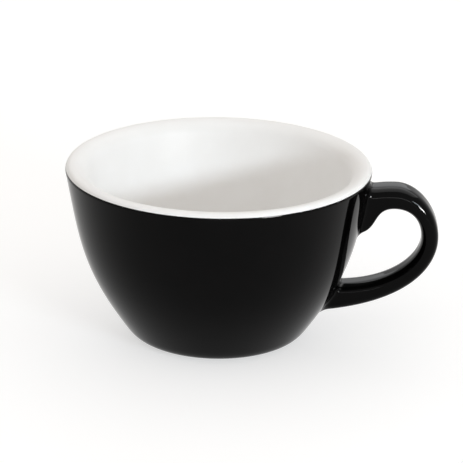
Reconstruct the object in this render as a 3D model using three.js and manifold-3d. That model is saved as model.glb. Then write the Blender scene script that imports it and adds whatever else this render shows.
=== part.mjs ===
// A coffee cup for a flat white: a wide, low porcelain bowl with an ear handle, glazed black outside and
// white inside. Millimetres, +Z up. The cup stands on Z = 0 with its handle along +X, and the origin lies
// under the middle of its outer box.

import * as THREE from 'three';
import { mergeVertices } from 'three/addons/utils/BufferGeometryUtils.js';
import Module from 'manifold-3d';

const wasm = await Module();
wasm.setup();

// Bowl: lengths in millimetres, slopes in degrees from the horizontal
const RIM_RADIUS = 44;
const CUP_HEIGHT = 52.4;
const LIP_WIDTH = 6;
const LIP_OUTER_ROUND = 1.3;
const LIP_INNER_ROUND = 4.4;
const LIP_SLOPE = 79.7;
const HEEL_OVERHANG = 8.4;
const HEEL_HEIGHT = 6.1;
const HEEL_SLOPE = 55.9;
const FLOOR_SET_IN = 12.6;
const BASE_THICKNESS = 5;

// Foot ring: a bare, flat ring round a shallow recess
const FOOT_RADIUS = 20;
const FOOT_WIDTH = 3.4;
const FOOT_EDGE = 0.5;
const FOOT_RECESS = 2;
const BARE_BAND = 1;

// Coats and joints: glaze and slip thickness, and the hairline left between neighbouring pieces
const GLAZE = 0.5;
const SLIP = 0.8;
const SEAM = 0.1;
const LIP_LINE = 12;

// Handle: drops are measured down from the rim, reaches out from the rim, heights up from the table
const HANDLE_WIDTH = 10;
const HANDLE_OUTER_ROUND = 3.2;
const HANDLE_INNER_WIDTH = 4;
const HANDLE_INNER_ROUND = 2;
const CREST_DROP = 4.6;
const CREST_REACH = 6.9;
const CREST_THICKNESS = 6.5;
const HANDLE_REACH = 19.7;
const SIDE_DROP = 20.6;
const SIDE_THICKNESS = 4.9;
const UPPER_ROOT_DROP = 4.9;
const UPPER_ROOT_DEPTH = 14.6;
const LOWER_ROOT_HEIGHT = 9.5;
const LOWER_ROOT_DEPTH = 7;
const ROOT_EMBED = 2.2;
const ROOT_FLARE = 0.8;
const FLARE_LENGTH = 3.2;

// Fullness: the arms of each curve, as shares of the span that it bridges
const HEEL_FULLNESS = 0.5;
const WALL_FULLNESS = 0.43;
const LIP_INSIDE_FULLNESS = 0.48;
const FLOOR_FULLNESS = 0.22;
const ROOT_FULLNESS = 0.59;
const CREST_FULLNESS = 0.5;
const OUTER_BEND = 0.52;
const INNER_BEND = 0.61;
const LOWER_BEND = 0.44;
const TAIL_FULLNESS = 0.68;
const OUTER_SHARE = 0.57;

// Facets
const TURN_STEPS = 48;
const CORNER_STEPS = 3;
const HEEL_STEPS = 4;
const WALL_STEPS = 7;
const INSIDE_STEPS = 9;
const ROOT_STEPS = 8;
const BEND_STEPS = 7;
const ARM_STEPS = 12;

// Directions in a section, in degrees
const QUARTER = 90;
const OUTWARD = 0;
const INWARD = 2 * QUARTER;
const DOWNWARD = -QUARTER;

const floorHeight = FOOT_RECESS + BASE_THICKNESS;
const heelRadius = FOOT_RADIUS + HEEL_OVERHANG;
const lipInnerRound = Math.min(LIP_INNER_ROUND, LIP_WIDTH - LIP_OUTER_ROUND - SEAM);
const lipLean = THREE.MathUtils.degToRad(QUARTER - LIP_SLOPE);
const lipLine = THREE.MathUtils.degToRad(LIP_LINE);
const biscuitDepth = GLAZE + SEAM;

function at(x, y) {
  return new THREE.Vector2(x, y);
}

// A step of a given length from a point, in a direction given in degrees.
function step(from, degrees, length) {
  const angle = THREE.MathUtils.degToRad(degrees);
  return at(from.x + length * Math.cos(angle), from.y + length * Math.sin(angle));
}

// A smooth stretch between two points that leaves and arrives in given directions.
function bridge(start, leaving, startArm, end, arriving, endArm) {
  const leave = step(start, leaving, startArm);
  const arrive = step(end, arriving, -endArm);
  return new THREE.CubicBezierCurve(start, leave, arrive, end);
}

// The glazed skin of the bowl in section, from the foot up the outside, over the lip and down to the
// middle of the floor. The material lies on the left of the way along it.
const lipOutside = at(RIM_RADIUS - LIP_OUTER_ROUND, CUP_HEIGHT - LIP_OUTER_ROUND);
const lipInside = at(
  RIM_RADIUS - LIP_WIDTH + lipInnerRound * Math.cos(lipLean),
  CUP_HEIGHT - lipInnerRound,
);

function lipArc(centre, radius, from, to) {
  return new THREE.EllipseCurve(centre.x, centre.y, radius, radius, from, to);
}

const footEnd = at(FOOT_RADIUS + SEAM, BARE_BAND);
const heel = at(heelRadius, HEEL_HEIGHT);
const wallTop = lipArc(lipOutside, LIP_OUTER_ROUND, -lipLean, lipLine).getPoint(0);
const insideTop = lipArc(lipInside, lipInnerRound, Math.PI / 2, Math.PI - lipLean).getPoint(1);
const floorEdge = at(heelRadius - FLOOR_SET_IN, floorHeight);
const heelArm = HEEL_FULLNESS * footEnd.distanceTo(heel);
const wallArm = WALL_FULLNESS * heel.distanceTo(wallTop);
const insideSpan = insideTop.distanceTo(floorEdge);
const heelCurve = bridge(footEnd, OUTWARD, heelArm, heel, HEEL_SLOPE, heelArm);
const wallCurve = bridge(heel, HEEL_SLOPE, wallArm, wallTop, LIP_SLOPE, wallArm);
const insideCurve = bridge(
  insideTop,
  INWARD + LIP_SLOPE,
  LIP_INSIDE_FULLNESS * insideSpan,
  floorEdge,
  INWARD,
  FLOOR_FULLNESS * insideSpan,
);

// Points along a run of stretches, set into the material by a depth.
function skin(stretches, depth) {
  const points = [];
  stretches.forEach(({ curve, steps }, order) => {
    for (let i = order === 0 ? 0 : 1; i <= steps; i += 1) {
      const point = curve.getPoint(i / steps);
      const along = curve.getTangent(i / steps);
      points.push(at(point.x - depth * along.y, point.y + depth * along.x));
    }
  });
  return points;
}

const outside = [
  { curve: heelCurve, steps: HEEL_STEPS },
  { curve: wallCurve, steps: WALL_STEPS },
];

function lipEdge(from, to) {
  return { curve: lipArc(lipOutside, LIP_OUTER_ROUND, from, to), steps: CORNER_STEPS };
}

const inside = [
  {
    curve: new THREE.LineCurve(at(lipOutside.x, CUP_HEIGHT), at(lipInside.x, CUP_HEIGHT)),
    steps: 1,
  },
  {
    curve: lipArc(lipInside, lipInnerRound, Math.PI / 2, Math.PI - lipLean),
    steps: CORNER_STEPS,
  },
  { curve: insideCurve, steps: INSIDE_STEPS },
  { curve: new THREE.LineCurve(floorEdge, at(0, floorHeight)), steps: 1 },
];

// A closed mesh with shared vertices and its faces pointing out becomes a solid that can be joined and cut.
function solid(geometry) {
  geometry.deleteAttribute('normal');
  geometry.deleteAttribute('uv');
  const merged = mergeVertices(geometry);
  const corners = merged.getAttribute('position');
  const triangles = [];
  let volume = 0;
  const [a, b, c] = [new THREE.Vector3(), new THREE.Vector3(), new THREE.Vector3()];
  for (let i = 0; i < merged.index.count; i += 3) {
    const triangle = [0, 1, 2].map((k) => merged.index.getX(i + k));
    if (new Set(triangle).size === 3) {
      triangles.push(triangle);
      [a, b, c].forEach((corner, k) => corner.fromBufferAttribute(corners, triangle[k]));
      volume += a.dot(b.cross(c));
    }
  }
  const facing = volume < 0 ? triangles.map(([i, j, k]) => [i, k, j]) : triangles;
  return new wasm.Manifold(
    new wasm.Mesh({
      numProp: 3,
      vertProperties: new Float32Array(corners.array),
      triVerts: new Uint32Array(facing.flat()),
    }),
  );
}

// A section turned about the cup's axis. It starts and ends on the axis or closes on itself.
function turned(profile) {
  return solid(new THREE.LatheGeometry(profile, TURN_STEPS).rotateX(Math.PI / 2));
}

// Everything inside the outer wall, set in by a depth: what the handle's roots are cut to.
function wallCore(depth) {
  const profile = skin(outside, depth);
  return turned([at(0, profile[0].y), ...profile, at(0, profile.at(-1).y)]);
}

// A coat of glaze along part of the skin.
function coat(stretches) {
  const face = skin(stretches, 0);
  const back = skin(stretches, GLAZE).reverse();
  return turned([...face, ...back, face[0]]);
}

// Outside radius of the wall at a height.
function wallRadius(height) {
  let [low, high] = [0, 1];
  while (high - low > Number.EPSILON) {
    const middle = (low + high) / 2;
    if (wallCurve.getPoint(middle).y < height) low = middle;
    else high = middle;
  }
  return wallCurve.getPoint(high).x;
}

function root(height) {
  return at(wallRadius(height) - ROOT_EMBED, height);
}

// The handle's outline in its own plane, as an outer and an inner line of three stretches each: level
// out of the wall and up to the crest, round to the side, and back along the lower arm into the wall.
const crestHeight = CUP_HEIGHT - CREST_DROP;
const sideHeight = CUP_HEIGHT - SIDE_DROP;
const sideReach = RIM_RADIUS + HANDLE_REACH;

function handleLine(start, crest, side, end, bend) {
  const rise = start.distanceTo(crest);
  const endArm = TAIL_FULLNESS * (side.x - end.x);
  return [
    bridge(start, OUTWARD, ROOT_FULLNESS * rise, crest, OUTWARD, CREST_FULLNESS * rise),
    bridge(crest, OUTWARD, bend * (side.x - crest.x), side, DOWNWARD, bend * (crest.y - side.y)),
    bridge(side, DOWNWARD, LOWER_BEND * (side.y - end.y), end, INWARD, endArm),
  ];
}

const outerLine = handleLine(
  root(CUP_HEIGHT - UPPER_ROOT_DROP),
  at(RIM_RADIUS + CREST_REACH, crestHeight),
  at(sideReach, sideHeight),
  root(LOWER_ROOT_HEIGHT),
  OUTER_BEND,
);
const innerLine = handleLine(
  root(CUP_HEIGHT - UPPER_ROOT_DROP - UPPER_ROOT_DEPTH),
  at(RIM_RADIUS + CREST_REACH, crestHeight - CREST_THICKNESS),
  at(sideReach - SIDE_THICKNESS, sideHeight),
  root(LOWER_ROOT_HEIGHT + LOWER_ROOT_DEPTH),
  INNER_BEND,
);

const stations = [];
[ROOT_STEPS, BEND_STEPS, ARM_STEPS].forEach((steps, stretch) => {
  for (let i = stretch === 0 ? 0 : 1; i <= steps; i += 1) {
    stations.push({
      outer: outerLine[stretch].getPoint(i / steps),
      inner: innerLine[stretch].getPoint(i / steps),
    });
  }
});
const sideStation = ROOT_STEPS + BEND_STEPS;

// How much wider each side of the handle is where it spreads into a fillet near the wall.
function flare({ outer, inner }) {
  const middle = outer.clone().lerp(inner, 0.5);
  const clear = THREE.MathUtils.clamp((middle.x - wallRadius(middle.y)) / FLARE_LENGTH, 0, 1);
  return ROOT_FLARE * (1 - clear) ** 2;
}

// One section of the handle, set in by a depth. Its outer corners are round, and its inner ones are wide
// and shallow, so that the side towards the finger is crowned.
function handleRing(station, depth) {
  const across = station.inner.clone().sub(station.outer);
  const thickness = across.length();
  across.normalize();
  const spread = flare(station);
  const half = HANDLE_WIDTH / 2 + spread;
  const outerRound = Math.min(HANDLE_OUTER_ROUND + spread, OUTER_SHARE * thickness, half);
  const innerRound = Math.min(HANDLE_INNER_ROUND + spread, thickness - outerRound);
  const innerWidth = Math.min(HANDLE_INNER_WIDTH + spread, half);
  const corners = [
    { side: 1, wide: outerRound, tall: outerRound, deep: outerRound },
    { side: 1, wide: innerWidth, tall: innerRound, deep: thickness - innerRound },
    { side: -1, wide: innerWidth, tall: innerRound, deep: thickness - innerRound },
    { side: -1, wide: outerRound, tall: outerRound, deep: outerRound },
  ];
  const ring = [];
  corners.forEach(({ side, wide, tall, deep }, order) => {
    for (let i = 0; i <= CORNER_STEPS; i += 1) {
      const turn = THREE.MathUtils.degToRad(QUARTER * (order - 1 + i / CORNER_STEPS));
      const aside = side * (half - wide) + (wide - depth) * Math.cos(turn);
      const inward = deep + (tall - depth) * Math.sin(turn);
      const place = station.outer.clone().addScaledVector(across, inward);
      ring.push(new THREE.Vector3(place.x, aside, place.y));
    }
  });
  return ring;
}

// A loft through the handle's sections, closed by a flat cap at each end.
function handleLoft(depth, first, last) {
  const rings = stations.slice(first, last + 1).map((station) => handleRing(station, depth));
  const count = rings[0].length;
  const faces = [];
  for (let r = 0; r + 1 < rings.length; r += 1) {
    for (let k = 0; k < count; k += 1) {
      const [a, b] = [r * count + k, r * count + ((k + 1) % count)];
      faces.push(a, b, b + count, a, b + count, a + count);
    }
  }
  const end = (rings.length - 1) * count;
  for (let k = 1; k + 1 < count; k += 1) {
    faces.push(0, k + 1, k, end, end + k, end + k + 1);
  }
  const geometry = new THREE.BufferGeometry().setFromPoints(rings.flat());
  geometry.setIndex(faces);
  return solid(geometry);
}

const lastStation = stations.length - 1;

// Porcelain bowl: the turned body under the glaze, with its foot ring
function bowl() {
  const body = skin([...outside, lipEdge(-lipLean, Math.PI / 2), ...inside], biscuitDepth);
  const under = FOOT_RECESS + biscuitDepth;
  const ringInside = FOOT_RADIUS - FOOT_WIDTH;
  return turned([
    ...body,
    at(0, under),
    at(ringInside - biscuitDepth, under),
    at(ringInside, FOOT_RECESS),
    at(ringInside, FOOT_EDGE),
    at(ringInside + FOOT_EDGE, 0),
    at(FOOT_RADIUS - FOOT_EDGE, 0),
    at(FOOT_RADIUS, FOOT_EDGE),
    at(FOOT_RADIUS, BARE_BAND + biscuitDepth),
    body[0],
  ]);
}

// Handle: cast by itself and trimmed to the curve of the wall, with room for the slip
function handle() {
  return handleLoft(biscuitDepth, 0, lastStation).subtract(wallCore(GLAZE - SLIP - SEAM));
}

// Slip joint: the layer of liquid clay that sticks one root of the handle to the wall
function slipJoint(first, last) {
  const layer = wallCore(GLAZE - SLIP).subtract(wallCore(GLAZE));
  return handleLoft(biscuitDepth, first, last).intersect(layer);
}

// Black glaze: one coat over the outside of the bowl and round the handle
function blackGlaze() {
  const edge = lipEdge(-lipLean, lipLine - SEAM / LIP_OUTER_ROUND);
  const sleeve = handleLoft(0, 0, lastStation).subtract(wallCore(GLAZE / 2));
  return coat([...outside, edge]).add(sleeve).subtract(handleLoft(GLAZE, 0, lastStation));
}

// White glaze: one coat over the lip and the whole inside
function whiteGlaze() {
  return coat([lipEdge(lipLine, Math.PI / 2), ...inside]);
}

// Base glaze: the coat in the recess inside the foot ring
function baseGlaze() {
  const edge = FOOT_RADIUS - FOOT_WIDTH - 2 * SEAM;
  return turned([
    at(0, FOOT_RECESS),
    at(edge, FOOT_RECESS),
    at(edge - GLAZE, FOOT_RECESS + GLAZE),
    at(0, FOOT_RECESS + GLAZE),
  ]);
}

function piece(name, shape, finish) {
  const mesh = shape.getMesh();
  const geometry = new THREE.BufferGeometry();
  geometry.setAttribute('position', new THREE.BufferAttribute(mesh.vertProperties, mesh.numProp));
  geometry.setIndex(new THREE.BufferAttribute(mesh.triVerts, 1));
  const part = new THREE.Mesh(geometry, new THREE.MeshStandardMaterial(finish));
  part.name = name;
  return part;
}

const porcelain = { color: 0xe9e4da, roughness: 0.75, metalness: 0 };
const black = { color: 0x0d0c0d, roughness: 0.12, metalness: 0 };
const white = { color: 0xf1eee7, roughness: 0.15, metalness: 0 };

const cup = new THREE.Group();
cup.add(
  piece('bowl', bowl(), porcelain),
  piece('handle', handle(), porcelain),
  piece('upper_slip_joint', slipJoint(0, sideStation), porcelain),
  piece('lower_slip_joint', slipJoint(sideStation, lastStation), porcelain),
  piece('black_glaze', blackGlaze(), black),
  piece('white_glaze', whiteGlaze(), white),
  piece('base_glaze', baseGlaze(), black),
);
cup.position.x = (RIM_RADIUS - sideReach) / 2;

export default cup;
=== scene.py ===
"""Looks of a porcelain coffee cup, glazed black outside and white inside, built round its CAD frame.

The bowl is turned about its own axis and the handle is lofted, in much finer steps than the solids.
The handle's edges, the lip and the foot differ from theirs by less than a millimetre. One unbroken quad
mesh carries the black glaze from the foot up the wall, over a fillet at each root and round the handle.
Sizes are in millimetres until a mesh is made, and the frame is in metres.
"""

import bisect
import math

import bpy
from mathutils import Matrix, Vector


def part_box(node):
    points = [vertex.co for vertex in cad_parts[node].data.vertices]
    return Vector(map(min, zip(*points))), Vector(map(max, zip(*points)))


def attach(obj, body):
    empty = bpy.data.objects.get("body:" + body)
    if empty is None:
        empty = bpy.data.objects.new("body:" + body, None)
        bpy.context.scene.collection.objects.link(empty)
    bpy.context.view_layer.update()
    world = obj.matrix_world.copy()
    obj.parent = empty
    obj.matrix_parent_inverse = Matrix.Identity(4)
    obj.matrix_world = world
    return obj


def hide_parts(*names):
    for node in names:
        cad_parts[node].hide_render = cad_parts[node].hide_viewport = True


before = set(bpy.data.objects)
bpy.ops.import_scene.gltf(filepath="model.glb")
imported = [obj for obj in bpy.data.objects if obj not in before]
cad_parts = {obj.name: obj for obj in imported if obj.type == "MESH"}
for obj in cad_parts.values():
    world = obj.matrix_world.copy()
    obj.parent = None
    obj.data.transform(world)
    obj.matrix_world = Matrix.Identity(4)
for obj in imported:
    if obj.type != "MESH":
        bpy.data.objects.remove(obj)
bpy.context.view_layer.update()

MM = 0.001
HALF_TURN = 180
QUARTER = 90

# Bowl: lengths in millimetres, slopes in degrees from the horizontal
RIM_RADIUS = 44.0
CUP_HEIGHT = 52.4
LIP_WIDTH = 6.0
LIP_OUTER_ROUND = 1.6
LIP_INNER_ROUND = 4.4
LIP_SLOPE = 79.7
LIP_LINE = 21
HEEL_RADIUS = 28.4
HEEL_HEIGHT = 6.1
HEEL_SLOPE = 55.9
FLOOR_RADIUS = 15.8
FLOOR_HEIGHT = 7.0

# Foot ring: bare biscuit with soft edges round a glazed recess
FOOT_RADIUS = 20.0
FOOT_WIDTH = 3.4
FOOT_ROUND = 0.6
FOOT_RECESS = 2.0
BARE_BAND = 1.0

# Layers: a coat of glaze, the hairline under it, both together, and the slip between handle and wall
GLAZE = 0.5
SEAM = 0.1
COAT = GLAZE + SEAM
SLIP = 0.8

# Handle: drops are measured down from the rim, reaches out from the rim, heights up from the table
HANDLE_WIDTH = 10.0
OUTER_ROUND = 3.0
OUTER_POWER = 4
INNER_WIDTH = 4.0
INNER_ROUND = 1.9
INNER_POWER = 2
CREST_DROP = 4.97
CREST_REACH = 6.9
CREST_THICKNESS = 6.73
HANDLE_REACH = 19.7
SIDE_DROP = 20.6
SIDE_THICKNESS = 5.0
UPPER_ROOT_DROP = 5.5
UPPER_ROOT_DEPTH = 14.2
LOWER_ROOT_HEIGHT = 8.65
LOWER_ROOT_DEPTH = 8.3
LOWER_SLOPE = 5.4
ROOT_EMBED = 2.2
UPPER_FILLET = 1.7
LOWER_FILLET = 2.2

# Fullness: the arms of each curve, as shares of its span, or of a fillet's size
HEEL_FULLNESS = 0.5
WALL_FULLNESS = 0.43
LIP_INSIDE_FULLNESS = 0.48
FLOOR_FULLNESS = 0.22
ROOT_FULLNESS = 0.59
CREST_FULLNESS = 0.5
OUTER_BEND = 0.52
INNER_BEND = 0.61
OUTER_LOWER_BEND = 0.34
INNER_LOWER_BEND = 0.44
OUTER_TAIL = 0.8
INNER_TAIL = 0.68
FILLET_ARM = 0.6

# Mesh of the black skin: steps round the cup, rows of the wall, the patch at each root, and rings
TURN_STEPS = 256
HEEL_ROWS = 14
MIDDLE_ROWS = 4
RIM_ROWS = 2
EDGE_ROWS = 10
UPPER_PATCH = {"half": 10, "rows": 20, "low": 28.2, "high": 50.5}
LOWER_PATCH = {"half": 13, "rows": 14, "low": 4.9, "high": 21.2}
RING_STEPS = 80
PATCH_RINGS = 5
FILLET_RINGS = 8
HANDLE_RINGS = 110
SLIP_RINGS = 2

# Mesh of the turned pieces: steps along each stretch, and the radius that counts as on the axis
BODY_STEPS = {"heel": 16, "wall": 40, "edge": 6, "top": 1, "roll": 8, "inside": 40, "floor": 8, "foot": 6}
COAT_STEPS = {"edge": 10, "top": 3, "roll": 16, "inside": 72, "floor": 16, "base": 12}
AXIS_NEAR = 0.001

# Search for the wall: the share of the lower arm that is looked through, and how often the span is halved
LOWER_SEARCH = 0.6
HALVINGS = 40

# Photograph: its frame and its camera, in pixels, degrees and millimetres
FRAME_PIXELS = 463
FOCAL_PIXELS = 2417
SENSOR_WIDTH = 36
CAMERA_AZIMUTH = 3
CAMERA_ELEVATION = 21.2
CAMERA_ROLL = 0.76
CAMERA_DISTANCE = 704
AIM_HEIGHT = 22
AIM_LEFT = 13.9
AIM_BELOW = 29.8

# Studio: the floor, in metres, and the light from all round
FLOOR_REACH = 4.0
FLOOR_GREY = 0.55
FLOOR_GLOW = 0.56
FILL_COLOUR = (1, 0.962, 0.922)
FILL_STRENGTH = 0.74
WHITE = (1, 1, 1)

# Noise: its detail, and the part of its range that is spread out
CLOUD_DETAIL = 3.0
NOISE_LOW = 0.3
NOISE_HIGH = 0.7

lip_low, lip_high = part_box("white_glaze")
AXIS = Vector(((lip_low.x + lip_high.x) / 2, 0, 0)) / MM
AIM = AXIS + Vector((0, 0, AIM_HEIGHT))


def heading(degrees):
    angle = math.radians(degrees)
    return Vector((math.cos(angle), math.sin(angle)))


def cubic(corners, t):
    """A point of the smooth curve that four corners pull."""
    a, b, c, d = corners
    u = 1 - t
    return u**3 * a + 3 * u * u * t * b + 3 * u * t * t * c + t**3 * d


class Bridge:
    """A smooth stretch between two points that leaves and arrives in given directions."""

    def __init__(self, start, leaving, start_arm, end, arriving, end_arm):
        leave = start + start_arm * heading(leaving)
        arrive = end - end_arm * heading(arriving)
        self.corners = (start, leave, arrive, end)

    def point(self, t):
        return cubic(self.corners, t)

    def along(self, t):
        a, b, c, d = self.corners
        u = 1 - t
        return (u * u * (b - a) + 2 * u * t * (c - b) + t * t * (d - c)).normalized()


class Arc:
    """A part of a circle, between two angles in degrees."""

    def __init__(self, centre, radius, first, last):
        self.centre, self.radius, self.first, self.last = centre, radius, first, last

    def point(self, t):
        return self.centre + self.radius * heading(self.first + t * (self.last - self.first))

    def along(self, t):
        side = QUARTER if self.last > self.first else -QUARTER
        return heading(self.first + t * (self.last - self.first) + side)


class Line:
    """A straight stretch between two points."""

    def __init__(self, start, end):
        self.start, self.end = start, end

    def point(self, t):
        return self.start.lerp(self.end, t)

    def along(self, t):
        return (self.end - self.start).normalized()


class Superellipse:
    """A quarter of an oval, from the middle of a face to its side. A higher power is a flatter face."""

    def __init__(self, width, depth, power, start=0.0):
        self.width, self.depth, self.power, self.start = width, depth, power, start

    def point(self, t):
        turn = math.radians(t * QUARTER)
        across = self.width * math.sin(turn) ** (2 / self.power)
        return Vector((self.start + across, self.depth * (1 - math.cos(turn))))


class Run:
    """Several stretches as one line that is measured by its length."""

    SAMPLES = 400

    def __init__(self, curves):
        self.lengths, self.places, self.points = [], [], []
        for curve in curves:
            for i in range(self.SAMPLES + 1):
                point = curve.point(i / self.SAMPLES)
                gone = (point - self.points[-1]).length if self.points else 0.0
                self.lengths.append(self.lengths[-1] + gone if self.lengths else 0.0)
                self.places.append((curve, i / self.SAMPLES))
                self.points.append(point)
        self.heights = [point.y for point in self.points]
        self.total = self.lengths[-1]

    def point(self, length):
        i = min(max(bisect.bisect_right(self.lengths, length), 1), len(self.lengths) - 1)
        (first, start), (last, end) = self.places[i - 1], self.places[i]
        if first is not last:
            return last.point(0)
        low, high = self.lengths[i - 1], self.lengths[i]
        share = (length - low) / (high - low) if high > low else 0
        return last.point(start + share * (end - start))

    def sample_below(self, height):
        """The last sample below a height on a line that rises, and the share of the way on to the next."""
        i = min(max(bisect.bisect_left(self.heights, height), 1), len(self.heights) - 1)
        low, high = self.heights[i - 1], self.heights[i]
        return i - 1, (height - low) / (high - low) if high > low else 0

    def length_at_height(self, height):
        i, share = self.sample_below(height)
        return self.lengths[i] + share * (self.lengths[i + 1] - self.lengths[i])

    def radius_at_height(self, height):
        i, share = self.sample_below(height)
        return self.points[i].lerp(self.points[i + 1], share).x


# Skin of the bowl in section, from the foot up the outside, over the lip and down to the floor's middle
lip_lean = QUARTER - LIP_SLOPE
lip_outside = Vector((RIM_RADIUS - LIP_OUTER_ROUND, CUP_HEIGHT - LIP_OUTER_ROUND))
lip_inside = Vector((
    RIM_RADIUS - LIP_WIDTH + LIP_INNER_ROUND * math.cos(math.radians(lip_lean)),
    CUP_HEIGHT - LIP_INNER_ROUND,
))
black_edge = Arc(lip_outside, LIP_OUTER_ROUND, -lip_lean, LIP_LINE)
white_edge = Arc(lip_outside, LIP_OUTER_ROUND, LIP_LINE, QUARTER)
lip_top = Line(Vector((lip_outside.x, CUP_HEIGHT)), Vector((lip_inside.x, CUP_HEIGHT)))
lip_roll = Arc(lip_inside, LIP_INNER_ROUND, QUARTER, HALF_TURN - lip_lean)
foot_end = Vector((FOOT_RADIUS + SEAM, BARE_BAND))
heel = Vector((HEEL_RADIUS, HEEL_HEIGHT))
wall_top = black_edge.point(0)
floor_edge = Vector((FLOOR_RADIUS, FLOOR_HEIGHT))
heel_arm = HEEL_FULLNESS * (heel - foot_end).length
wall_arm = WALL_FULLNESS * (wall_top - heel).length
inside_span = (lip_roll.point(1) - floor_edge).length
heel_curve = Bridge(foot_end, 0, heel_arm, heel, HEEL_SLOPE, heel_arm)
wall_curve = Bridge(heel, HEEL_SLOPE, wall_arm, wall_top, LIP_SLOPE, wall_arm)
inside_curve = Bridge(
    lip_roll.point(1), HALF_TURN + LIP_SLOPE, LIP_INSIDE_FULLNESS * inside_span,
    floor_edge, HALF_TURN, FLOOR_FULLNESS * inside_span,
)
floor_line = Line(floor_edge, Vector((0, FLOOR_HEIGHT)))
outside = Run([heel_curve, wall_curve, black_edge])


def turned_place(radius, turn, height):
    return Vector((radius * math.cos(turn), radius * math.sin(turn), height))


def on_wall(turn, length):
    """A point of the outside, by its turn about the axis and its length up the section."""
    radius, height = outside.point(length)
    return turned_place(radius, turn, height)


def root(height):
    return Vector((outside.radius_at_height(height) - ROOT_EMBED, height))


def handle_line(start, crest, side, end, bend, lower_bend, tail, slope):
    """One edge of the handle seen from its side: out to the crest, round, and back along the lower arm."""
    rise = (crest - start).length
    reach = side.x - end.x
    return [
        Bridge(start, 0, ROOT_FULLNESS * rise, crest, 0, CREST_FULLNESS * rise),
        Bridge(crest, 0, bend * (side.x - crest.x), side, -QUARTER, bend * (crest.y - side.y)),
        Bridge(side, -QUARTER, lower_bend * (side.y - end.y), end, HALF_TURN + slope, tail * reach),
    ]


crest_height = CUP_HEIGHT - CREST_DROP
side_height = CUP_HEIGHT - SIDE_DROP
side_reach = RIM_RADIUS + HANDLE_REACH
outer_line = handle_line(
    root(CUP_HEIGHT - UPPER_ROOT_DROP),
    Vector((RIM_RADIUS + CREST_REACH, crest_height)),
    Vector((side_reach, side_height)),
    root(LOWER_ROOT_HEIGHT), OUTER_BEND, OUTER_LOWER_BEND, OUTER_TAIL, LOWER_SLOPE,
)
inner_line = handle_line(
    root(CUP_HEIGHT - UPPER_ROOT_DROP - UPPER_ROOT_DEPTH),
    Vector((RIM_RADIUS + CREST_REACH, crest_height - CREST_THICKNESS)),
    Vector((side_reach - SIDE_THICKNESS, side_height)),
    root(LOWER_ROOT_HEIGHT + LOWER_ROOT_DEPTH), INNER_BEND, INNER_LOWER_BEND, INNER_TAIL, 0,
)

# Places along the handle count its stretches. Each span runs from inside the wall to outside it
HANDLE_END = len(outer_line)
UPPER_SPAN = 0.0, 1.0
LOWER_SPAN = float(HANDLE_END), HANDLE_END - LOWER_SEARCH

inner_flat = HANDLE_WIDTH / 2 - INNER_WIDTH
outer_face = Run([Superellipse(HANDLE_WIDTH / 2, OUTER_ROUND, OUTER_POWER)])
inner_face = Run([
    Line(Vector((0, 0)), Vector((inner_flat, 0))),
    Superellipse(INNER_WIDTH, INNER_ROUND, INNER_POWER, inner_flat),
])
ring_shares = [k / RING_STEPS for k in range(RING_STEPS)]


def section_place(thickness, share):
    """Across and down from the middle of the outer face, at a share of the way round the section."""
    side = 1 if share <= 0.5 else -1
    straight = thickness - OUTER_ROUND - INNER_ROUND
    left = 2 * min(share, 1 - share) * (outer_face.total + straight + inner_face.total)
    if left < outer_face.total:
        across, down = outer_face.point(left)
    elif left < outer_face.total + straight:
        across, down = HANDLE_WIDTH / 2, OUTER_ROUND + left - outer_face.total
    else:
        across, up = inner_face.point(outer_face.total + straight + inner_face.total - left)
        down = thickness - up
    return side * across, down


def on_handle(t, share, inset=0.0):
    """A point of the handle, or that deep under it, by its place along the handle and round the section."""
    stretch = min(int(t), HANDLE_END - 1)
    edges = outer_line[stretch], inner_line[stretch]
    outer, inner = (edge.point(t - stretch) for edge in edges)
    thickness = (inner - outer).length
    across, down = section_place(thickness, share)
    if inset:
        outer_way, inner_way = (edge.along(t - stretch) for edge in edges)
        outer = outer + inset * Vector((outer_way.y, -outer_way.x))
        inner = inner - inset * Vector((inner_way.y, -inner_way.x))
    place = outer.lerp(inner, down / thickness)
    return Vector((place.x, across * (1 - 2 * inset / HANDLE_WIDTH), place.y))


def clear_of_wall(point):
    return math.hypot(point.x, point.y) - outside.radius_at_height(point.z)


def crossing(share, inside_t, outside_t, clear=0.0, inset=0.0):
    """Where a line along the handle comes out of the wall, or is clear of it by a distance."""
    for _ in range(HALVINGS):
        middle = (inside_t + outside_t) / 2
        if clear_of_wall(on_handle(middle, share, inset)) < clear:
            inside_t = middle
        else:
            outside_t = middle
    return outside_t


def travelled(share, t, step, length):
    """The place along the handle that is a given length away from another."""
    here, gone = on_handle(t, share), 0.0
    while gone < length:
        t += step
        there = on_handle(t, share)
        gone += (there - here).length
        here = there
    return t


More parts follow.
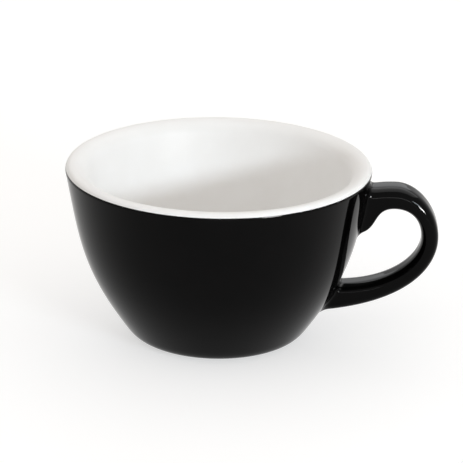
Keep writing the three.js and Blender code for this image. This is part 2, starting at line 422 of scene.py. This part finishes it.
class Root:
    """One end of the handle: where it leaves the wall, its fillet, and the edge of its patch of wall."""

    STEP = 0.002
    NUDGE = 0.01

    def __init__(self, patch, inside_t, outside_t, size):
        self.size = size
        self.onward = math.copysign(self.STEP, outside_t - inside_t)
        top = outside_t > inside_t
        cuts = [crossing(share, inside_t, outside_t) for share in ring_shares]
        self.leaves = [travelled(share, t, self.onward, size) for share, t in zip(ring_shares, cuts)]
        ring = [on_handle(t, share) for t, share in zip(cuts, ring_shares)]
        self.girth = math.hypot(ring[0].x, ring[0].y)
        flat = [self.flatten(point) for point in ring]
        self.feet = []
        for k, here in enumerate(flat):
            way = flat[(k + 1) % RING_STEPS] - flat[k - 1]
            away = Vector((-way.y, way.x) if top else (way.y, -way.x)).normalized()
            self.feet.append((here + size * away, -away))
        self.edge = self.patch_edge(patch, top)

    def flatten(self, point):
        """The wall unrolled: along its girth at the root, and up its section."""
        turn = math.atan2(point.y, point.x)
        return Vector((turn * self.girth, outside.length_at_height(point.z)))

    def raise_up(self, flat):
        return on_wall(flat.x / self.girth, flat.y)

    def patch_edge(self, patch, top):
        """Corners of the wall's grid round the root, in the order in which the handle's section runs."""
        half, rows = patch["half"], patch["rows"]
        start = [(i, rows) for i in range(half + 1)]
        down = [(half, rows - 1 - i) for i in range(rows)]
        low = [(half - 1 - i, 0) for i in range(2 * half)]
        up = [(-half, i + 1) for i in range(rows)]
        end = [(i, rows) for i in range(-half + 1, 0)]
        order = start + down + low + up + end
        return order if top else [(column, rows - row) for column, row in order]

    def fillet(self, k):
        """Points from the wall to the handle, smooth at both."""
        foot, inward = self.feet[k]
        start = self.raise_up(foot)
        leaving = (self.raise_up(foot + self.NUDGE * self.size * inward) - start).normalized()
        share, t = ring_shares[k], self.leaves[k]
        end = on_handle(t, share)
        arriving = (on_handle(t + self.onward, share) - end).normalized()
        arm = self.size * FILLET_ARM
        corners = (start, start + arm * leaving, end - arm * arriving, end)
        return [cubic(corners, i / FILLET_RINGS) for i in range(FILLET_RINGS)]


def row_lengths():
    """Lengths up the section of the rows of the wall's grid, and where the rows of each patch start."""
    lower = [outside.length_at_height(LOWER_PATCH[key]) for key in ("low", "high")]
    upper = [outside.length_at_height(UPPER_PATCH[key]) for key in ("low", "high")]
    marks = [0, *lower, *upper, outside.length_at_height(wall_top.y), outside.total]
    counts = [HEEL_ROWS, LOWER_PATCH["rows"], MIDDLE_ROWS, UPPER_PATCH["rows"], RIM_ROWS, EDGE_ROWS]
    rows = [0.0]
    for low, high, count in zip(marks, marks[1:], counts):
        rows += [low + (high - low) * (i + 1) / count for i in range(count)]
    return rows, HEEL_ROWS, HEEL_ROWS + LOWER_PATCH["rows"] + MIDDLE_ROWS


class BlackSkin:
    """The outside of the cup as vertices and quads: a grid for the wall, and rings along the handle."""

    def __init__(self):
        self.vertices, self.faces, self.grid = [], [], {}
        rows, lower_start, upper_start = row_lengths()
        self.patches = [(LOWER_PATCH, lower_start), (UPPER_PATCH, upper_start)]
        self.add_wall(rows)
        upper = Root(UPPER_PATCH, *UPPER_SPAN, UPPER_FILLET)
        lower = Root(LOWER_PATCH, *LOWER_SPAN, LOWER_FILLET)
        rings = self.root_rings(upper, upper_start)
        rings += self.handle_rings(upper.leaves, lower.leaves)
        rings += reversed(self.root_rings(lower, lower_start))
        self.join(rings)

    def add(self, point):
        self.vertices.append(point)
        return len(self.vertices) - 1

    def corner_in_patch(self, row, column):
        for patch, first in self.patches:
            half, last = patch["half"], first + patch["rows"]
            if first < row < last and -half < column < half:
                return True
        return False

    def cell_in_patch(self, row, column):
        for patch, first in self.patches:
            half, last = patch["half"], first + patch["rows"]
            if first <= row < last and -half <= column < half:
                return True
        return False

    def add_wall(self, rows):
        """The wall all round, with a hole at each patch."""
        columns = range(-TURN_STEPS // 2, TURN_STEPS // 2)
        for row, length in enumerate(rows):
            for column in columns:
                if not self.corner_in_patch(row, column):
                    turn = math.tau * column / TURN_STEPS
                    self.grid[row, column] = self.add(on_wall(turn, length))
        for row in range(len(rows) - 1):
            for column in columns:
                if self.cell_in_patch(row, column):
                    continue
                after = column + 1 if column + 1 in columns else columns[0]
                places = (row, column), (row, after), (row + 1, after), (row + 1, column)
                self.faces.append(tuple(self.grid[place] for place in places))

    def root_rings(self, end, first):
        """Rings from the edge of the patch to where the fillet meets the handle."""
        corners = [self.grid[first + row, column] for column, row in end.edge]
        flat = [end.flatten(self.vertices[corner]) for corner in corners]
        feet = [foot for foot, _ in end.feet]
        rings = [corners]
        for i in range(1, PATCH_RINGS):
            ring = [a.lerp(b, i / PATCH_RINGS) for a, b in zip(flat, feet)]
            rings.append([self.add(end.raise_up(place)) for place in ring])
        fillets = [end.fillet(k) for k in range(RING_STEPS)]
        for i in range(FILLET_RINGS):
            rings.append([self.add(points[i]) for points in fillets])
        return rings

    def handle_rings(self, starts, ends):
        """Rings along the handle, from where one fillet meets it to where the other does."""
        rings = []
        for i in range(HANDLE_RINGS + 1):
            way = i / HANDLE_RINGS
            places = [start + way * (end - start) for start, end in zip(starts, ends)]
            rings.append([self.add(on_handle(t, share)) for t, share in zip(places, ring_shares)])
        return rings

    def join(self, rings):
        for ring, following in zip(rings, rings[1:]):
            for k in range(RING_STEPS):
                after = (k + 1) % RING_STEPS
                self.faces.append((ring[after], ring[k], following[k], following[after]))


def clay(first, last, rings):
    """A closed stretch of the handle's clay. Each end is a span to search and a distance from the wall."""
    vertices, faces = [], []
    starts, ends = (
        [crossing(share, *span, clear, COAT) for share in ring_shares]
        for span, clear in (first, last)
    )
    for i in range(rings + 1):
        for share, start, end in zip(ring_shares, starts, ends):
            vertices.append(on_handle(start + (end - start) * i / rings, share, COAT))
    for i in range(rings):
        for k in range(RING_STEPS):
            a, b = i * RING_STEPS + k, i * RING_STEPS + (k + 1) % RING_STEPS
            faces.append((b, a, a + RING_STEPS, b + RING_STEPS))
    top = rings * RING_STEPS
    faces += [tuple(range(RING_STEPS)), tuple(reversed(range(top, top + RING_STEPS)))]
    return vertices, faces


def turned(section):
    """A closed section turned about the cup's axis. A point on the axis becomes one vertex."""
    vertices, faces, loops = [], [], []
    for radius, height in section:
        first = len(vertices)
        if radius < AXIS_NEAR:
            vertices.append(Vector((0, 0, height)))
            loops.append([first] * TURN_STEPS)
            continue
        loops.append(list(range(first, first + TURN_STEPS)))
        for i in range(TURN_STEPS):
            vertices.append(turned_place(radius, math.tau * i / TURN_STEPS, height))
    pairs = list(zip(loops, loops[1:]))
    if section[0][0] >= AXIS_NEAR:
        pairs.append((loops[-1], loops[0]))
    for low, high in pairs:
        for i in range(TURN_STEPS):
            j = (i + 1) % TURN_STEPS
            face = dict.fromkeys((low[i], low[j], high[j], high[i]))
            if len(face) > 2:
                faces.append(tuple(face))
    return vertices, faces


def skin(stretches, depth):
    """Points along a run of curves, set into the material by a depth."""
    points = []
    for order, (curve, steps) in enumerate(stretches):
        for i in range(0 if order == 0 else 1, steps + 1):
            point, along = curve.point(i / steps), curve.along(i / steps)
            points.append(Vector((point.x - depth * along.y, point.y + depth * along.x)))
    return points


def body_section():
    """The porcelain under the coats, and the bare foot ring with its rounded edges."""
    steps = BODY_STEPS
    under = FOOT_RECESS + COAT
    ring_inside = FOOT_RADIUS - FOOT_WIDTH
    inner_middle = Vector((ring_inside + FOOT_ROUND, FOOT_ROUND))
    outer_middle = Vector((FOOT_RADIUS - FOOT_ROUND, FOOT_ROUND))
    bowl = [
        (heel_curve, steps["heel"]), (wall_curve, steps["wall"]), (black_edge, steps["edge"]),
        (white_edge, steps["edge"]), (lip_top, steps["top"]), (lip_roll, steps["roll"]),
        (inside_curve, steps["inside"]), (floor_line, steps["floor"]),
    ]
    ring = [
        (Arc(inner_middle, FOOT_ROUND, HALF_TURN, HALF_TURN + QUARTER), steps["foot"]),
        (Arc(outer_middle, FOOT_ROUND, -QUARTER, 0), steps["foot"]),
    ]
    return [
        *skin(bowl, COAT),
        Vector((0, under)),
        Vector((ring_inside - COAT, under)),
        Vector((ring_inside, FOOT_RECESS)),
        *skin(ring, 0),
        Vector((FOOT_RADIUS, BARE_BAND + COAT)),
    ]


def white_section():
    """The coat over the lip and the inside. It starts where the black coat ends."""
    steps = COAT_STEPS
    stretches = [
        (white_edge, steps["edge"]), (lip_top, steps["top"]), (lip_roll, steps["roll"]),
        (inside_curve, steps["inside"]), (floor_line, steps["floor"]),
    ]
    return [*skin(stretches, 0), *reversed(skin(stretches, GLAZE))]


def base_section():
    """The coat in the recess inside the foot ring."""
    edge = FOOT_RADIUS - FOOT_WIDTH - 2 * SEAM
    steps = COAT_STEPS["base"]
    face = [Vector((edge * i / steps, FOOT_RECESS)) for i in range(steps + 1)]
    back = [Vector((edge - GLAZE, FOOT_RECESS + GLAZE)), Vector((0, FOOT_RECESS + GLAZE))]
    return [*face, *back]


class Nodes:
    """A node material, with short ways to add what the fired surfaces share."""

    def __init__(self, name):
        self.material = bpy.data.materials.new(name)
        self.material.use_nodes = True
        self.tree = self.material.node_tree
        self.inputs = self.tree.nodes["Principled BSDF"].inputs
        self.place = self.add("ShaderNodeTexCoord").outputs["Object"]

    def add(self, kind):
        return self.tree.nodes.new(kind)

    def link(self, source, target):
        self.tree.links.new(source, target)

    def noise(self, size, detail=CLOUD_DETAIL):
        """Soft noise whose cells are about a size in millimetres."""
        node = self.add("ShaderNodeTexNoise")
        node.inputs["Scale"].default_value = 1 / (size * MM)
        node.inputs["Detail"].default_value = detail
        self.link(self.place, node.inputs["Vector"])
        return node.outputs["Fac"]

    def spread(self, source, low, high):
        """The middle of a noise's range, spread from a low to a high value."""
        node = self.add("ShaderNodeMapRange")
        node.inputs["From Min"].default_value = NOISE_LOW
        node.inputs["From Max"].default_value = NOISE_HIGH
        node.inputs["To Min"].default_value = low
        node.inputs["To Max"].default_value = high
        self.link(source, node.inputs["Value"])
        return node.outputs["Result"]

    def tint(self, source, low, high):
        node = self.add("ShaderNodeMix")
        node.data_type = "RGBA"
        self.link(source, node.inputs["Factor"])
        first, second = [socket for socket in node.inputs if socket.type == "RGBA"]
        first.default_value = (*low, 1)
        second.default_value = (*high, 1)
        return next(socket for socket in node.outputs if socket.type == "RGBA")

    def bump(self, source, height):
        node = self.add("ShaderNodeBump")
        node.inputs["Distance"].default_value = height * MM
        self.link(source, node.inputs["Height"])
        return node.outputs["Normal"]


def fired(name, tints, cloud, roughness, patch, bump, detail, height, index):
    """A fired surface: clouded colour, patchy gloss and low bumps, with their sizes in millimetres."""
    nodes = Nodes(name)
    nodes.link(nodes.tint(nodes.spread(nodes.noise(cloud), 0, 1), *tints), nodes.inputs["Base Color"])
    nodes.link(nodes.spread(nodes.noise(patch), *roughness), nodes.inputs["Roughness"])
    nodes.link(nodes.bump(nodes.noise(bump, detail), height), nodes.inputs["Normal"])
    nodes.inputs["IOR"].default_value = index
    return nodes.material


def black_glaze_material():
    return fired(
        "black_glaze", tints=((0.001, 0.001, 0.001), (0.0018, 0.0016, 0.0016)), cloud=9,
        roughness=(0.035, 0.06), patch=14, bump=7, detail=1.0, height=0.006, index=1.15,
    )


def white_glaze_material():
    return fired(
        "white_glaze", tints=((0.862, 0.856, 0.845), (0.882, 0.878, 0.87)), cloud=11,
        roughness=(0.3, 0.36), patch=13, bump=8, detail=1.0, height=0.006, index=1.12,
    )


def biscuit_material():
    return fired(
        "biscuit", tints=((0.74, 0.69, 0.6), (0.82, 0.78, 0.7)), cloud=2.5,
        roughness=(0.68, 0.85), patch=1.2, bump=0.35, detail=2.0, height=0.03, index=1.45,
    )


def piece(name, vertices, faces, slot, material, node):
    """A smooth mesh that stands for a CAD node, in the frame's place and in metres."""
    mesh = bpy.data.meshes.new(name)
    mesh.from_pydata([(AXIS + vertex) * MM for vertex in vertices], [], faces)
    mesh.validate()
    mesh.shade_smooth()
    mesh.materials.append(material)
    made = bpy.data.objects.new(name, mesh)
    bpy.context.scene.collection.objects.link(made)
    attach(made, "root")
    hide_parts(node)
    return made


def bowl_pieces(black, white, biscuit):
    outer = BlackSkin()
    coat = piece("outer_coat", outer.vertices, outer.faces, "black_glaze", black, "black_glaze")
    shell = coat.modifiers.new("thickness", "SOLIDIFY")
    shell.thickness = GLAZE * MM
    shell.offset = -1
    piece("inner_coat", *turned(white_section()), "white_glaze", white, "white_glaze")
    piece("base_coat", *turned(base_section()), "black_glaze", black, "base_glaze")
    piece("body", *turned(body_section()), "porcelain", biscuit, "bowl")


def handle_pieces(biscuit):
    """The clay inside the coat: the handle, and the slip that lies between it and the wall at each root."""
    slip_inside, slip_outside = -GLAZE, SLIP - GLAZE
    core_end = slip_outside + SEAM
    core_ends = (UPPER_SPAN, core_end), (LOWER_SPAN, core_end)
    upper_ends = (UPPER_SPAN, slip_inside), (UPPER_SPAN, slip_outside)
    lower_ends = (LOWER_SPAN, slip_outside), (LOWER_SPAN, slip_inside)
    piece("handle_core", *clay(*core_ends, HANDLE_RINGS), "porcelain", biscuit, "handle")
    piece("upper_slip", *clay(*upper_ends, SLIP_RINGS), "porcelain", biscuit, "upper_slip_joint")
    piece("lower_slip", *clay(*lower_ends, SLIP_RINGS), "porcelain", biscuit, "lower_slip_joint")


def away_from_cup(azimuth, elevation):
    """A direction from the cup, in degrees: round from the front towards the handle, and up."""
    turn, rise = math.radians(azimuth), math.radians(elevation)
    return Vector((math.cos(rise) * math.sin(turn), -math.cos(rise) * math.cos(turn), math.sin(rise)))


def camera():
    azimuth = math.radians(CAMERA_AZIMUTH)
    back = away_from_cup(CAMERA_AZIMUTH, CAMERA_ELEVATION)
    right = Vector((math.cos(azimuth), math.sin(azimuth), 0))
    level = Matrix((right, back.cross(right), back)).transposed()
    roll = Matrix.Rotation(math.radians(CAMERA_ROLL), 3, "Z")
    pan = Matrix.Rotation(-math.atan(AIM_LEFT / FOCAL_PIXELS), 3, "Y")
    tilt = Matrix.Rotation(math.atan(AIM_BELOW / FOCAL_PIXELS), 3, "X")
    lens = bpy.data.cameras.new("camera")
    lens.sensor_width = SENSOR_WIDTH
    lens.lens = SENSOR_WIDTH * FOCAL_PIXELS / FRAME_PIXELS
    made = bpy.data.objects.new("camera", lens)
    place = Matrix.Translation((AIM + CAMERA_DISTANCE * back) * MM)
    made.matrix_world = place @ (level @ roll @ pan @ tilt).to_4x4()
    bpy.context.scene.collection.objects.link(made)
    bpy.context.scene.camera = made


def soft_box(name, azimuth, elevation, distance, size, watts, colour=WHITE, gloss_only=False):
    """A soft lamp that faces the cup from a distance, with a width and height, in metres."""
    away = away_from_cup(azimuth, elevation)
    light = bpy.data.lights.new(name, "AREA")
    light.shape = "RECTANGLE"
    light.size, light.size_y = size
    light.energy, light.color = watts, colour
    made = bpy.data.objects.new(name, light)
    made.location = AIM * MM + distance * away
    made.rotation_euler = away.to_track_quat("Z", "Y").to_euler()
    made.visible_diffuse = not gloss_only
    bpy.context.scene.collection.objects.link(made)


def lamps():
    cool, faint = (0.84, 0.925, 1), (0.95, 0.975, 1)
    soft_box("key", 37, 15, distance=1.05, size=(0.3, 0.09), watts=4.95, colour=cool)
    soft_box("front", 6, 2, distance=1.05, size=(0.4, 0.04), watts=0.8)
    soft_box("back", 180, 27, distance=1.0, size=(0.8, 0.4), watts=1.3, colour=faint)
    soft_box("glint", 41.5, 8.5, distance=1.05, size=(0.26, 0.08), watts=20, gloss_only=True)
    soft_box("top", 180, 72, distance=1.0, size=(2.2, 1.35), watts=36, gloss_only=True)


def shown_rays(tree):
    """1 on rays that show the background itself: to the camera, in a gloss or through glass."""
    rays = tree.nodes.new("ShaderNodeLightPath")
    first = tree.nodes.new("ShaderNodeMath")
    second = tree.nodes.new("ShaderNodeMath")
    first.operation = second.operation = "MAXIMUM"
    tree.links.new(rays.outputs["Is Camera Ray"], first.inputs[0])
    tree.links.new(rays.outputs["Is Glossy Ray"], first.inputs[1])
    tree.links.new(first.outputs[0], second.inputs[0])
    tree.links.new(rays.outputs["Is Transmission Ray"], second.inputs[1])
    return second.outputs[0]


def surroundings():
    """Warm light from all round, which shows as plain white."""
    world = bpy.data.worlds.new("studio")
    bpy.context.scene.world = world
    world.use_nodes = True
    tree = world.node_tree
    fill = tree.nodes["Background"]
    fill.inputs["Color"].default_value = (*FILL_COLOUR, 1)
    fill.inputs["Strength"].default_value = FILL_STRENGTH
    white = tree.nodes.new("ShaderNodeBackground")
    white.inputs["Color"].default_value = (*WHITE, 1)
    white.inputs["Strength"].default_value = 1
    mix = tree.nodes.new("ShaderNodeMixShader")
    tree.links.new(shown_rays(tree), mix.inputs["Fac"])
    tree.links.new(fill.outputs["Background"], mix.inputs[1])
    tree.links.new(white.outputs["Background"], mix.inputs[2])
    tree.links.new(mix.outputs["Shader"], tree.nodes["World Output"].inputs["Surface"])


def floor_material():
    """Grey paint that keeps shadows and shows as pale."""
    material = bpy.data.materials.new("floor")
    material.use_nodes = True
    tree = material.node_tree
    paint = tree.nodes["Principled BSDF"]
    paint.inputs["Base Color"].default_value = (FLOOR_GREY, FLOOR_GREY, FLOOR_GREY, 1)
    paint.inputs["Roughness"].default_value = 1
    paint.inputs["Specular IOR Level"].default_value = 0
    paint.inputs["Emission Color"].default_value = (*WHITE, 1)
    share = tree.nodes.new("ShaderNodeMath")
    share.operation = "MULTIPLY"
    share.inputs[1].default_value = FLOOR_GLOW
    tree.links.new(shown_rays(tree), share.inputs[0])
    tree.links.new(share.outputs[0], paint.inputs["Emission Strength"])
    return material


def floor():
    side = FLOOR_REACH
    mesh = bpy.data.meshes.new("floor")
    corners = [(-side, -side, 0), (side, -side, 0), (side, side, 0), (-side, side, 0)]
    mesh.from_pydata(corners, [], [(0, 1, 2, 3)])
    mesh.materials.append(floor_material())
    made = bpy.data.objects.new("floor", mesh)
    bpy.context.scene.collection.objects.link(made)


bpy.context.scene.view_settings.view_transform = "Standard"
camera()
surroundings()
floor()
lamps()
biscuit = biscuit_material()
bowl_pieces(black_glaze_material(), white_glaze_material(), biscuit)
handle_pieces(biscuit)
